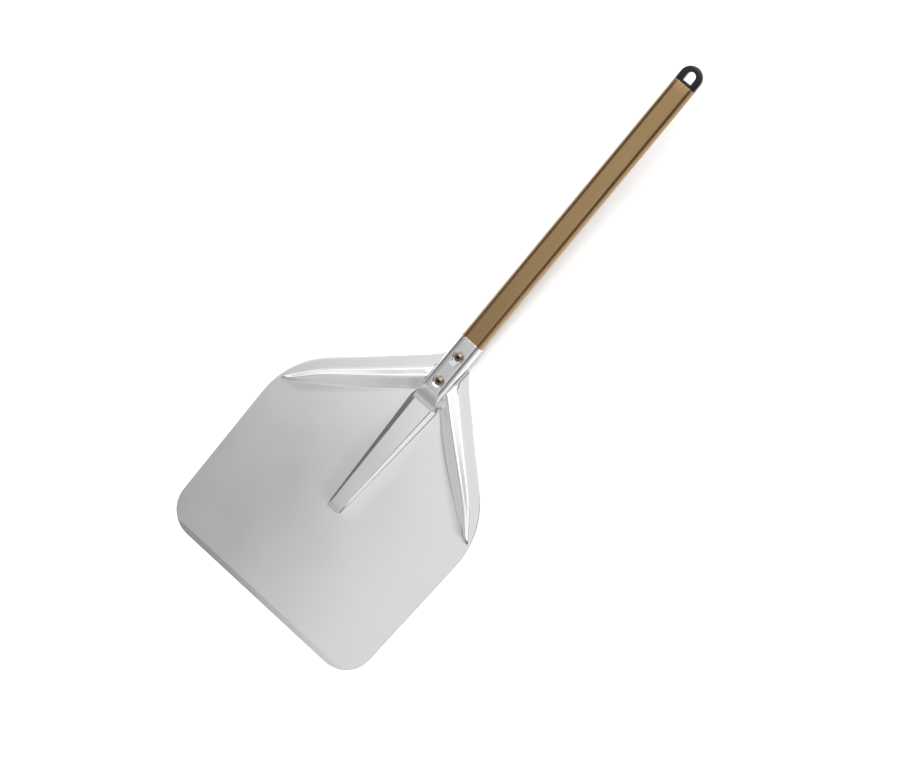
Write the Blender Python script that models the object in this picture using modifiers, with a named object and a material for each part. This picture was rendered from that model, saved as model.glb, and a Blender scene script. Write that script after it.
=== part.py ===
"""Pizza peel: a pressed aluminium blade, an oval handle tube, two screws in sleeve nuts, and an end cap.

Units are metres. The blade lies flat with its underside on z = 0, the handle points along +Y and rises a
little. The origin is on the blade's underside, on its centre line, a little way behind the front edge.
Lengths along the blade are counted from the root, where the blade's rear edges reach the tube. Lengths
along the handle are counted from the same place, in a frame that rises with it.
"""

from math import atan2, cos, pi, radians, sin, sqrt, tan

import bmesh
import bpy
from mathutils import Matrix

MM = 0.001

# Blade outline
SHEET = 1.0 * MM  # thickness of the aluminium sheet
BLADE_WIDTH = 330.0 * MM  # widest, just in front of the shoulders
BLADE_LENGTH = 383.0 * MM  # front edge to root
FRONT_Y = -110.0 * MM  # front edge, from the origin
SIDE_TAPER = radians(1.5)  # each side closes in towards the front
FRONT_CORNER = 42.0 * MM  # corner radius
SHOULDER_RADIUS = 118.0 * MM
SHOULDER_ANGLE = radians(42.5)  # of the rear edges, from straight across
REAR_APEX = 24.6 * MM  # where the two rear edges would meet, behind the root
FLARE_START = -16.6 * MM  # from here back the rear edges swing in to the socket
FLARE_RATE = 4.6  # metres of swing for each square metre of length
BEVEL_LENGTH = 7.0 * MM  # the front edge is thinned over this length
BEVEL_DROP = 0.7 * MM

# Handle tube: an oval, flat above and below
TUBE_WIDTH = 30.6 * MM
TUBE_HEIGHT = 17.2 * MM
TUBE_CORNER = 7.6 * MM
TUBE_WALL = 1.4 * MM
PITCH = radians(7.5)  # the handle rises from the blade
TUBE_FLOOR = 5.2 * MM  # height of the tube's underside at the root
TUBE_START = -29.5 * MM
TUBE_END = 453.0 * MM

# Socket, pressed out of the blade over the tube
GAP = 0.3 * MM  # between pieces that touch
SOCKET_END = 43.0 * MM
NOSE_TOP = -37.0 * MM
NOSE_FOOT = -53.5 * MM
NOSE_FOOT_ROUND = 4.5 * MM  # reach of the bend on either side of the foot
NOSE_CREST = 3.0 * MM  # softness of the edge where the slope meets the socket
NOSE_WALLS = 0.6  # share of the nose over which the walls grow up
WALL_FILLET = 2.6 * MM
WALL_LEAST = 0.6 * MM  # upright part of the wall that a high rib leaves
LIP_BLEND = 6.0 * MM  # length over which the socket's lower edge lifts off the blade
FLANGE_END = 7.0 * MM  # where the flange's outer edge stops
FLANGE_ROOT = 12.0 * MM  # where the flange stops at the socket's wall

# Centre rib, from the nose towards the front
RIB_END = -232.0 * MM
RIB_HEIGHT = 5.7 * MM  # at the nose, running out to nothing
RIB_POWER = 0.45  # how the height falls towards its end
RIB_ROUNDING = 0.12  # share of a flank that eases in and out
RIB_TOP = (12.8 * MM, 7.8 * MM)  # half width of its flat top, at the nose and at its end
RIB_FOOT = (21.2 * MM, 10.4 * MM)  # half width at its feet
RIB_SHIFT = 1.6 * MM  # the nose and the centre rib sit this far to the right of the tube

# Shoulder ribs: each line is a smooth curve through points across and along, in millimetres
WING_HEIGHT = 8.2 * MM
WING_POWER = 0.35  # how the height falls towards the tip
WING_ROUNDING = 0.12  # share of a slope that eases in and out
WING_INNER = ((151.0, -152.0), (110.0, -123.0), (67.0, -91.5), (18.0, -48.5))
WING_CREST = ((154.0, -151.0), (121.0, -115.5), (79.0, -79.5), (39.0, -46.0), (17.5, -27.0))
WING_OUTER = ((156.0, -147.0), (131.0, -117.0), (81.0, -70.5), (48.0, -40.0), (27.5, -20.0), (20.0, -3.0))
WING_TIP = -151.0 * MM
COLUMN_SPACE = 0.4 * MM  # least distance between the mesh's columns beside the socket

# Fasteners, along the handle
SCREWS = {"front": -17.6 * MM, "rear": 21.4 * MM}
SHANK_RADIUS = 2.8 * MM
SHANK_END = 3.0 * MM  # above the tube's underside
HEAD_RADIUS = 5.4 * MM
HEAD_RIM = 0.6 * MM
HEAD_HEIGHT = 2.9 * MM
HEX_ACROSS_FLATS = 4.0 * MM
HEX_DEPTH = 2.0 * MM
DIMPLE_RADIUS = 8.2 * MM
DIMPLE_FLOOR = 6.2 * MM  # radius of its flat floor
DIMPLE_DEPTH = 0.9 * MM
DIMPLE_RIM = 0.5 * MM  # how much wider the dimple is underneath
DIMPLE_UNION = 0.2  # share of a wall's thickness that the dimple's underside reaches into it
TUBE_DIMPLE_SPREAD = 0.5 * MM  # the tube's dimples are this much wider than the socket's, to clear them
SLEEVE_RADIUS = 4.2 * MM
SLEEVE_BORE = 3.1 * MM
SLEEVE_TOP = 12.5 * MM
SLEEVE_FLOOR = 1.6 * MM
NUT_RADIUS = 5.2 * MM
NUT_HEIGHT = 1.0 * MM

# End cap
CAP_LENGTH = 25.0 * MM  # beyond the tube's end
CAP_WIDTH = 29.2 * MM
CAP_THICKNESS = 12.0 * MM
CAP_EDGE = 1.8 * MM  # rounding of its edges
COLLAR_LENGTH = 1.4 * MM
HOLE_WIDTH = 11.8 * MM
HOLE_START = 1.8 * MM  # from the tube's end
HOLE_END = 17.8 * MM
HOLE_CORNER = 3.0 * MM
SPIGOT_LENGTH = 24.0 * MM
SPIGOT_WALL = 2.0 * MM

ROOT_Y = FRONT_Y + BLADE_LENGTH
SOCKET_HALF = TUBE_WIDTH / 2 + GAP + SHEET
SOCKET_CORNER = TUBE_CORNER + GAP + SHEET
SOCKET_RISE = (TUBE_HEIGHT + GAP + SHEET) / cos(PITCH)

# Centres and ends of the outline's arcs
SHOULDER_X = BLADE_WIDTH / 2 - SHOULDER_RADIUS
SHOULDER_Y = REAR_APEX - (SHOULDER_RADIUS + SHOULDER_X * sin(SHOULDER_ANGLE)) / cos(SHOULDER_ANGLE)
SIDE_END_X = SHOULDER_X + SHOULDER_RADIUS * cos(SIDE_TAPER)
SIDE_END_Y = SHOULDER_Y - SHOULDER_RADIUS * sin(SIDE_TAPER)
ARC_END_Y = SHOULDER_Y + SHOULDER_RADIUS * cos(SHOULDER_ANGLE)
CORNER_Y = FRONT_CORNER - BLADE_LENGTH
CORNER_X = SIDE_END_X + ((CORNER_Y - SIDE_END_Y) * sin(SIDE_TAPER) - FRONT_CORNER) / cos(SIDE_TAPER)
CORNER_END_Y = CORNER_Y - FRONT_CORNER * sin(SIDE_TAPER)

# Rows of the blade's mesh: round the front corner, along the side, then closer over the pressed shapes
CORNER_ANGLES = (0.0, 12.0, 26.0, 40.0, 54.0, 68.0, 80.0)
PLAIN_ROWS = (-325.0, -300.0, -275.0, -250.0)
SHAPED_FIRST, SHAPED_LAST, SHAPED_STEP = -216.0, -64.0, 8.0
NECK_ROWS = (-60.5, -57.5, -54.5, -51.5, -48.5, -45.5, -42.5, -40.0, -37.5, -35.0, -32.0, -28.0)
ROOT_ROWS = (-24.0, -19.5, -15.0, -10.5, -6.0, -1.5, 3.0)
LIP_ROWS = (15.0, 18.5, 24.0, 31.0, 37.0)
CROWN_STEPS = 8  # columns between the crown's flat top and its foot

MATERIALS = {
    "blade": ((0.78, 0.78, 0.79), 0.34, 1.0),
    "handle_tube": ((0.34, 0.23, 0.12), 0.42, 1.0),
    "end_cap": ((0.018, 0.018, 0.02), 0.3, 0.0),
    "screw": ((0.36, 0.28, 0.2), 0.35, 1.0),
    "sleeve_nut": ((0.55, 0.54, 0.53), 0.35, 1.0),
}


# ---- Collections, materials and small helpers ----


def start_scene():
    """Empties the scene and returns the collections for the peel and for its cutters."""
    for obj in list(bpy.data.objects):
        bpy.data.objects.remove(obj)
    peel = bpy.data.collections.new("pizza_peel")
    cutters = bpy.data.collections.new("cutters")
    for collection in (peel, cutters):
        bpy.context.scene.collection.children.link(collection)
    return peel, cutters


PEEL, CUTTERS = start_scene()


def make_material(name):
    color, roughness, metallic = MATERIALS[name]
    material = bpy.data.materials.new(name)
    material.use_nodes = True
    shader = material.node_tree.nodes["Principled BSDF"]
    shader.inputs["Base Color"].default_value = (*color, 1.0)
    shader.inputs["Roughness"].default_value = roughness
    shader.inputs["Metallic"].default_value = metallic
    material.diffuse_color = (*color, 1.0)
    return material


def add_object(name, mesh, collection, parent=None, material=None):
    obj = bpy.data.objects.new(name, mesh)
    collection.objects.link(obj)
    obj.parent = parent
    if material:
        mesh.materials.append(material)
    return obj


def add_cutter(name, mesh, parent=None):
    obj = add_object(name, mesh, CUTTERS, parent)
    obj.display_type = "WIRE"
    obj.hide_render = True
    return obj


def mesh_from(name, verts, faces):
    mesh = bpy.data.meshes.new(name)
    mesh.from_pydata(verts, [], faces)
    mesh.update()
    return mesh


def combine(obj, other, operation):
    """Adds a Boolean modifier that joins other to obj or cuts it away."""
    modifier = obj.modifiers.new(f"{operation.lower()} {other.name}", "BOOLEAN")
    modifier.operation = operation
    modifier.solver = "EXACT"
    modifier.object = other


def smooth_shading(obj, degrees=35.0):
    obj.data.shade_smooth()
    obj.data.set_sharp_from_angle(angle=radians(degrees))


def mix(a, b, t):
    return a + (b - a) * t


def ease(t):
    """Smooth step from 0 to 1."""
    t = min(max(t, 0.0), 1.0)
    return t * t * (3.0 - 2.0 * t)


def rounded_ramp(t, rounding):
    """Straight ramp from 0 to 1 whose two ends are rounded."""
    if t <= -rounding:
        return 0.0
    if t < rounding:
        return (t + rounding) ** 2 / (4.0 * rounding)
    if t <= 1.0 - rounding:
        return t
    if t < 1.0 + rounding:
        return 1.0 - (1.0 + rounding - t) ** 2 / (4.0 * rounding)
    return 1.0


def flank(t, rounding):
    """Straight ramp from 0 to 1 with both ends rounded inside them."""
    return rounded_ramp(t * (1.0 + 2.0 * rounding) - rounding, rounding)


def bend(t, reach):
    """Zero before a bend and t after it, eased over a reach on either side."""
    if t <= -reach:
        return 0.0
    return (t + reach) ** 2 / (4.0 * reach) if t < reach else t


def soft_least(a, b, softness):
    """The lesser of two values, blended where they differ by less than the softness."""
    if softness <= 0.0:
        return min(a, b)
    overlap = max(softness - abs(a - b), 0.0)
    return min(a, b) - overlap * overlap / (4.0 * softness)


def curve_at(points, along):
    """Distance across, at a distance along, on the smooth curve through points given in millimetres."""
    y = along / MM
    slopes = []
    for i in range(len(points)):
        (x0, y0), (x1, y1) = points[max(i - 1, 0)], points[min(i + 1, len(points) - 1)]
        slopes.append((x1 - x0) / (y1 - y0))
    i = 0
    while i < len(points) - 2 and y > points[i + 1][1]:
        i += 1
    (x0, y0), (x1, y1) = points[i], points[i + 1]
    t, length = (y - y0) / (y1 - y0), y1 - y0
    if t < 0.0:
        return (x0 + slopes[i] * (y - y0)) * MM
    if t > 1.0:
        return (x1 + slopes[i + 1] * (y - y1)) * MM
    start = (1 + 2 * t) * (1 - t) ** 2 * x0 + t * (1 - t) ** 2 * length * slopes[i]
    end = t * t * (3 - 2 * t) * x1 + t * t * (t - 1) * length * slopes[i + 1]
    return (start + end) * MM


# ---- Blade: one pressed sheet, lofted from rows across it ----


def half_width(y):
    """Half the blade's width at a distance along it."""
    if y < CORNER_END_Y:
        return CORNER_X + sqrt(max(FRONT_CORNER**2 - (CORNER_Y - y) ** 2, 0.0))
    if y < SIDE_END_Y:
        return SIDE_END_X - (SIDE_END_Y - y) * tan(SIDE_TAPER)
    if y < ARC_END_Y:
        return SHOULDER_X + sqrt(SHOULDER_RADIUS**2 - (y - SHOULDER_Y) ** 2)
    swing = FLARE_RATE * max(y - FLARE_START, 0.0) ** 2
    return (REAR_APEX - y) / tan(SHOULDER_ANGLE) + swing


def wing_lines(y):
    """Inner foot, crest and outer foot of a shoulder rib at a distance along the blade."""
    if y >= WING_TIP:
        return [curve_at(line, y) for line in (WING_INNER, WING_CREST, WING_OUTER)]
    shrink = half_width(y) / half_width(WING_TIP)
    return [curve_at(line, WING_TIP) * shrink for line in (WING_INNER, WING_CREST, WING_OUTER)]


def wing_rise(x, y):
    """Height of a shoulder rib above the flat blade."""
    inner, crest, outer = wing_lines(y)
    root = WING_CREST[-1][1] * MM
    left = min(max((y - WING_TIP) / (root - WING_TIP), 0.0), 1.0)
    if not inner < x < outer:
        return 0.0
    side = (x - inner) / (crest - inner) if x < crest else (outer - x) / (outer - crest)
    return WING_HEIGHT * left**WING_POWER * flank(side, WING_ROUNDING)


def socket_section(y):
    """Flat top, round corner, upright wall and fillet of the socket, as points across and up."""
    top = TUBE_FLOOR + y * tan(PITCH) + SOCKET_RISE
    start = SOCKET_HALF - SOCKET_CORNER
    points = [(0.0, top), (start, top)]
    for degrees in (22.5, 45.0, 67.5, 90.0):
        angle = radians(degrees)
        points.append((start + SOCKET_CORNER * sin(angle), top - SOCKET_CORNER * (1.0 - cos(angle))))
    ground = SHEET + wing_rise(SOCKET_HALF + WALL_FILLET, y)
    fillet = min(WALL_FILLET, top - SOCKET_CORNER - ground - WALL_LEAST)
    for degrees in (0.0, 30.0, 60.0, 90.0):
        angle = radians(degrees)
        points.append((SOCKET_HALF + WALL_FILLET * (1.0 - cos(angle)), ground + fillet * (1.0 - sin(angle))))
    return points


def rib_section(y):
    """Flat top and eased flank of the centre rib, as points across and up."""
    along = min(max((NOSE_FOOT - y) / (NOSE_FOOT - RIB_END), 0.0), 1.0)
    height = RIB_HEIGHT * (1.0 - along) ** RIB_POWER
    top, foot = mix(*RIB_TOP, along), mix(*RIB_FOOT, along)
    points = [(0.0, SHEET + height), (top, SHEET + height)]
    for step in range(1, CROWN_STEPS + 1):
        share = step / CROWN_STEPS
        points.append((mix(top, foot, share), SHEET + height * (1.0 - flank(share, RIB_ROUNDING))))
    return points


def crown_section(y):
    """Socket, nose or centre rib: the nose's slope cuts across the whole socket."""
    climb = bend(y - NOSE_FOOT, NOSE_FOOT_ROUND)
    walls = ease((y - NOSE_FOOT + NOSE_FOOT_ROUND) / (NOSE_WALLS * (NOSE_TOP - NOSE_FOOT)))
    foot, crest = SHEET + RIB_HEIGHT, socket_section(NOSE_TOP)[0][1]
    slope = rib_section(y)[0][1] + climb * (crest - foot) / (NOSE_TOP - NOSE_FOOT)
    section = []
    for low, high in zip(rib_section(y), socket_section(y)):
        z = soft_least(mix(low[1], high[1], walls), slope, min(NOSE_CREST, climb))
        section.append((mix(low[0], high[0], walls), z))
    return section


def plain_section(y, first):
    """The blade beside the crown: over the shoulder rib, then out to the edge."""
    inner, crest, outer = wing_lines(y)
    edge = half_width(y)
    wanted = [inner, mix(inner, crest, 0.2), mix(inner, crest, 0.8), crest]
    wanted += [mix(crest, outer, 0.2), mix(crest, outer, 0.8), outer, mix(outer, edge, 0.5), edge]
    points = []
    for step, x in enumerate(wanted):
        room = (edge - first) / len(wanted)
        x = max(x, first + (step + 1) * min(COLUMN_SPACE, room))
        points.append((x, SHEET + wing_rise(x, y)))
    return points


def blade_rows():
    """Rows of points from the front edge to the root, each from the centre line to the edge."""
    lengths = [CORNER_Y - FRONT_CORNER * cos(radians(a)) for a in CORNER_ANGLES] + [CORNER_END_Y]
    lengths += [row * MM for row in PLAIN_ROWS] + [RIB_END]
    count = round((SHAPED_LAST - SHAPED_FIRST) / SHAPED_STEP)
    lengths += [(SHAPED_FIRST + SHAPED_STEP * i) * MM for i in range(count + 1)]
    lengths += [row * MM for row in NECK_ROWS + ROOT_ROWS]
    rows = []
    for y in lengths:
        crown = crown_section(y)
        rows.append([(x, y, z) for x, z in crown + plain_section(y, crown[-1][0])])
    crown = crown_section(FLANGE_ROOT)
    last = [(x, FLANGE_ROOT, z) for x, z in crown]
    for x, z in plain_section(FLANGE_END, crown[-1][0]):
        out = (x - crown[-1][0]) / (half_width(FLANGE_END) - crown[-1][0])
        last.append((x, mix(FLANGE_ROOT, FLANGE_END, out), z))
    return rows + [last]


def lip_rows(columns):
    """Rows of the socket behind the root, down to its free lower edge and square to the tube at its end."""
    rows = []
    for y in [row * MM for row in LIP_ROWS] + [SOCKET_END]:
        section = socket_section(y)[:columns]
        free = ease((y - FLANGE_ROOT) / LIP_BLEND)
        lower = mix(section[-1][1], TUBE_FLOOR + y * tan(PITCH), free)
        section[-1] = (section[-1][0], lower)
        lean = tan(PITCH) * (y - FLANGE_ROOT) / (SOCKET_END - FLANGE_ROOT)
        rows.append([(x, y + (section[0][1] - z) * lean, z) for x, z in section])
    return rows


def whole(row):
    """A row across the blade from its right half, with the nose and the centre rib moved over."""
    both = [(-x, y, z) for x, y, z in reversed(row[1:])] + row
    moved = []
    for x, y, z in both:
        ahead = 1.0 - ease((y - NOSE_FOOT) / (NOSE_TOP - NOSE_FOOT))
        near = 1.0 - ease((abs(x) - RIB_FOOT[0]) / RIB_FOOT[0])
        moved.append((x + RIB_SHIFT * ahead * near, y, z))
    return moved


def make_blade():
    rows = [whole(row) for row in blade_rows()]
    verts = [point for row in rows for point in row]
    width = len(rows[0])
    faces = []
    for i in range(len(rows) - 1):
        for j in range(width - 1):
            near, far = i * width + j, (i + 1) * width + j
            faces.append((near, near + 1, far + 1, far))
    columns = len(socket_section(0.0)) - 3  # the socket's section without its fillet
    middle = len(verts) - 1 - width // 2
    before = list(range(middle - columns + 1, middle + columns))
    for row in lip_rows(columns):
        here = list(range(len(verts), len(verts) + 2 * columns - 1))
        verts += whole(row)
        for j in range(2 * columns - 2):
            faces.append((before[j], before[j + 1], here[j + 1], here[j]))
        before = here
    blade = add_object("blade", mesh_from("blade", verts, faces), PEEL, material=make_material("blade"))
    blade.location.y = ROOT_Y
    smooth_shading(blade)
    sheet = blade.modifiers.new("sheet", "SOLIDIFY")
    sheet.thickness = SHEET
    sheet.offset = -1.0
    sheet.use_even_offset = True
    return blade


def cut_front_bevel(blade):
    """Thins the front edge with a slightly tilted flat cut, which runs out round the corners."""
    bm = bmesh.new()
    bmesh.ops.create_cube(bm, size=1.0)
    size = (BLADE_WIDTH * 1.2, FRONT_CORNER, FRONT_CORNER / 2)
    bmesh.ops.scale(bm, vec=size, verts=bm.verts)
    bmesh.ops.translate(bm, vec=(0.0, -size[1] / 2, size[2] / 2), verts=bm.verts)
    mesh = bpy.data.meshes.new("front_bevel")
    bm.to_mesh(mesh)
    bm.free()
    cutter = add_cutter("front_bevel", mesh)
    cutter.location = (0.0, FRONT_Y + BEVEL_LENGTH, SHEET)
    cutter.rotation_euler.x = atan2(BEVEL_DROP, BEVEL_LENGTH)
    combine(blade, cutter, "DIFFERENCE")


# ---- Shapes along and through the handle ----


def oval(width, height, corner, steps=7):
    """Points of a rounded oblong, anticlockwise seen from -Y, with its underside at zero height."""
    points = []
    for turn, (side, up) in enumerate(((1, 0), (1, 1), (-1, 1), (-1, 0))):
        centre = (side * (width / 2 - corner), corner if not up else height - corner)
        for step in range(steps + 1):
            angle = (turn - 1 + step / steps) * pi / 2
            points.append((centre[0] + corner * cos(angle), centre[1] + corner * sin(angle)))
    return points


def along_handle(name, outline, start, end, capped, lift=0.0):
    """Carries an outline along the handle, as an open sleeve or as a closed bar."""
    count = len(outline)
    verts = [(x, y, z + lift) for y in (start, end) for x, z in outline]
    faces = [(i, (i + 1) % count, count + (i + 1) % count, count + i) for i in range(count)]
    if capped:
        faces += [tuple(reversed(range(count))), tuple(range(count, 2 * count))]
    mesh = mesh_from(name, verts, faces)
    bm = bmesh.new()
    bm.from_mesh(mesh)
    bmesh.ops.recalc_face_normals(bm, faces=bm.faces)
    bm.to_mesh(mesh)
    bm.free()
    return mesh


def upright_cone(name, low, high, low_radius, high_radius, segments=40):
    """Closed cone or cylinder between two heights, as a mesh on the Z axis."""
    bm = bmesh.new()
    bmesh.ops.create_cone(
        bm,
        cap_ends=True,
        segments=segments,
        radius1=low_radius,
        radius2=high_radius,
        depth=high - low,
        matrix=Matrix.Translation((0.0, 0.0, (low + high) / 2)),
    )
    mesh = bpy.data.meshes.new(name)
    bm.to_mesh(mesh)
    bm.free()
    return mesh


def turned(name, profile, steps=32):
    """Turns a profile, given as radius and height, about the Z axis."""
    edges = [(i, i + 1) for i in range(len(profile) - 1)]
    mesh = bpy.data.meshes.new(name)
    mesh.from_pydata([(radius, 0.0, height) for radius, height in profile], edges, [])
    obj = bpy.data.objects.new(name, mesh)
    PEEL.objects.link(obj)
    screw = obj.modifiers.new("turn", "SCREW")
    screw.axis = "Z"
    screw.steps = screw.render_steps = steps
    screw.use_merge_vertices = True
    screw.merge_threshold = 0.00001
    return obj


# ---- Handle tube, its screws and nuts ----


def make_tube(handle):
    outline = oval(TUBE_WIDTH, TUBE_HEIGHT, TUBE_CORNER)
    mesh = along_handle("handle_tube", outline, TUBE_START, TUBE_END, capped=False)
    tube = add_object("handle_tube", mesh, PEEL, handle, make_material("handle_tube"))
    smooth_shading(tube)
    wall = tube.modifiers.new("wall", "SOLIDIFY")
    wall.thickness = TUBE_WALL
    wall.offset = -1.0
    wall.use_even_offset = True
    return tube


def dimple_cone(name, face, low, high, spread):
    """Cone that follows the dimple's wall between two depths below a face."""
    slope = (DIMPLE_RADIUS - DIMPLE_FLOOR) / DIMPLE_DEPTH
    wall_at = [DIMPLE_RADIUS + spread - depth * slope for depth in (low, high)]
    return upright_cone(name, face - low, face - high, *wall_at)


def press_dimple(piece, handle, label, at, face, wall, spread):
    """Presses a round dimple for a screw's head into a flat wall whose outer face is at a height."""
    shapes = {
        "under": dimple_cone("under", face - wall, DIMPLE_DEPTH, -DIMPLE_UNION * wall, spread + DIMPLE_RIM),
        "sink": dimple_cone("sink", face, DIMPLE_DEPTH, -DIMPLE_DEPTH, spread),
        "hole": upright_cone("hole", face - 4 * wall, face + wall, SHANK_RADIUS + GAP, SHANK_RADIUS + GAP),
    }
    for kind, mesh in shapes.items():
        cutter = add_cutter(f"{label}_{kind}", mesh, handle)
        cutter.location.y = at
        combine(piece, cutter, "UNION" if kind == "under" else "DIFFERENCE")


def drill_floor(tube, handle, label, at):
    """Hole for a sleeve nut through the tube's underside."""
    radius = SLEEVE_RADIUS + GAP
    mesh = upright_cone(f"{label}_floor", -TUBE_WALL, 2 * TUBE_WALL, radius, radius)
    cutter = add_cutter(f"{label}_floor", mesh, handle)
    cutter.location.y = at
    combine(tube, cutter, "DIFFERENCE")


def make_screw(handle, label, at, material):
    """Button-head screw with a hexagon socket."""
    seat = TUBE_HEIGHT + GAP + SHEET - DIMPLE_DEPTH + GAP
    dome = []
    for step in range(7):
        angle = radians(90.0 * step / 6)
        dome.append((HEAD_RADIUS * sin(angle), seat + HEAD_RIM + (HEAD_HEIGHT - HEAD_RIM) * cos(angle)))
    profile = dome + [(HEAD_RADIUS, seat), (SHANK_RADIUS, seat), (SHANK_RADIUS, SHANK_END), (0.0, SHANK_END)]
    screw = turned(f"screw_{label}", profile)
    screw.parent = handle
    screw.location.y = at
    screw.data.materials.append(material)
    key_radius = HEX_ACROSS_FLATS / 2 / cos(pi / 6)
    top = seat + HEAD_HEIGHT
    mesh = upright_cone(f"key_{label}", top - HEX_DEPTH, top + HEX_DEPTH, key_radius, key_radius, segments=6)
    key = add_cutter(f"key_{label}", mesh, handle)
    key.location.y = at
    combine(screw, key, "DIFFERENCE")


def make_nut(handle, label, at, material):
    """Sleeve nut: a thin head under the tube and a bored sleeve up inside it."""
    low = -GAP - NUT_HEIGHT
    profile = [
        (0.0, SLEEVE_FLOOR),
        (SLEEVE_BORE, SLEEVE_FLOOR),
        (SLEEVE_BORE, SLEEVE_TOP),
        (SLEEVE_RADIUS, SLEEVE_TOP),
        (SLEEVE_RADIUS, -GAP),
        (NUT_RADIUS, -GAP),
        (NUT_RADIUS, low + NUT_HEIGHT / 3),
        (NUT_RADIUS - NUT_HEIGHT / 2, low),
        (0.0, low),
    ]
    nut = turned(f"sleeve_nut_{label}", profile)
    nut.parent = handle
    nut.location.y = at
    nut.data.materials.append(material)


# ---- End cap ----


def cap_outline():
    """Plan of the eye: straight sides that end in a half round."""
    half = CAP_WIDTH / 2
    points = [(-half, 0.0), (half, 0.0)]
    for step in range(25):
        angle = pi * step / 24
        points.append((half * cos(angle), CAP_LENGTH - half + half * sin(angle)))
    return points


def hole_outline():
    """Plan of the hanging hole: rounded corners at the tube's end, a half round at the tip."""
    half = HOLE_WIDTH / 2
    points = []
    for side in (-1, 1):
        for step in range(6):
            angle = -pi / 2 + side * pi / 2 * (1 - step / 5 if side < 0 else step / 5)
            centre = (side * (half - HOLE_CORNER), HOLE_START + HOLE_CORNER)
            points.append((centre[0] + HOLE_CORNER * cos(angle), centre[1] + HOLE_CORNER * sin(angle)))
    for step in range(19):
        angle = pi * step / 18
        points.append((half * cos(angle), HOLE_END - half + half * sin(angle)))
    return points


def plate(name, outline, low, high):
    """Closed plate with a given plan, between two heights."""
    count = len(outline)
    verts = [(x, y, z) for z in (low, high) for x, y in outline]
    faces = [(i, (i + 1) % count, count + (i + 1) % count, count + i) for i in range(count)]
    faces += [tuple(reversed(range(count))), tuple(range(count, 2 * count))]
    return mesh_from(name, verts, faces)


def make_eye(handle):
    """The cap's ring before its hole is cut: a plate with rounded edges."""
    middle, half = TUBE_HEIGHT / 2, CAP_THICKNESS / 2
    mesh = plate("end_cap", cap_outline(), middle - half, middle + half)
    mesh.transform(Matrix.Translation((0.0, TUBE_END + GAP, 0.0)))
    cap = add_object("end_cap", mesh, PEEL, handle, make_material("end_cap"))
    smooth_shading(cap)
    rounding = cap.modifiers.new("edges", "BEVEL")
    rounding.width = CAP_EDGE
    rounding.segments = 3
    rounding.limit_method = "ANGLE"
    rounding.angle_limit = radians(40.0)
    return cap


def make_cap(handle):
    """Black cap: a ring with the hanging hole, a collar on the tube's end and a hollow spigot inside."""
    cap = make_eye(handle)
    collar = along_handle(
        "collar",
        oval(TUBE_WIDTH - GAP, TUBE_HEIGHT - GAP, TUBE_CORNER - GAP / 2),
        TUBE_END + GAP,
        TUBE_END + GAP + COLLAR_LENGTH,
        capped=True,
        lift=GAP / 2,
    )
    inset = TUBE_WALL + GAP
    spigot = along_handle(
        "spigot",
        oval(TUBE_WIDTH - 2 * inset, TUBE_HEIGHT - 2 * inset, TUBE_CORNER - inset),
        TUBE_END - SPIGOT_LENGTH,
        TUBE_END + COLLAR_LENGTH,
        capped=True,
        lift=inset,
    )
    deep = inset + SPIGOT_WALL
    hollow = along_handle(
        "spigot_hollow",
        oval(TUBE_WIDTH - 2 * deep, TUBE_HEIGHT - 2 * deep, TUBE_CORNER - deep),
        TUBE_END - SPIGOT_LENGTH - SPIGOT_WALL,
        TUBE_END - SPIGOT_WALL,
        capped=True,
        lift=deep,
    )
    combine(cap, add_cutter("collar", collar, handle), "UNION")
    combine(cap, add_cutter("spigot", spigot, handle), "UNION")
    combine(cap, add_cutter("spigot_hollow", hollow, handle), "DIFFERENCE")
    hole = add_cutter("hanging_hole", plate("hanging_hole", hole_outline(), 0.0, TUBE_HEIGHT), handle)
    hole.location.y = TUBE_END
    combine(cap, hole, "DIFFERENCE")


def main():
    handle = bpy.data.objects.new("handle_frame", None)
    PEEL.objects.link(handle)
    handle.location = (0.0, ROOT_Y, TUBE_FLOOR)
    handle.rotation_euler.x = PITCH
    blade = make_blade()
    cut_front_bevel(blade)
    tube = make_tube(handle)
    screw_material = make_material("screw")
    nut_material = make_material("sleeve_nut")
    socket_face = TUBE_HEIGHT + GAP + SHEET
    for label, at in SCREWS.items():
        press_dimple(blade, handle, f"socket_{label}", at, socket_face, SHEET, 0.0)
        press_dimple(tube, handle, f"tube_{label}", at, TUBE_HEIGHT, TUBE_WALL, TUBE_DIMPLE_SPREAD)
        drill_floor(tube, handle, label, at)
        make_screw(handle, label, at, screw_material)
        make_nut(handle, label, at, nut_material)
    make_cap(handle)


main()
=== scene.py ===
"""Pizza peel: fine surfaces, materials, floor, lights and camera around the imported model.

Units are metres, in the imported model's frame: the blade lies flat with its underside on z = 0 and the handle
points along +Y, rising a little. Lengths along the blade are counted from the root, where the blade's rear
edges reach the tube. Lengths along the handle are counted from the same place, in a frame that rises with it.
"""

from math import atan2, cos, pi, radians, sin, sqrt, tan

import bmesh
import bpy
from mathutils import Euler, Matrix, Vector


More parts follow.
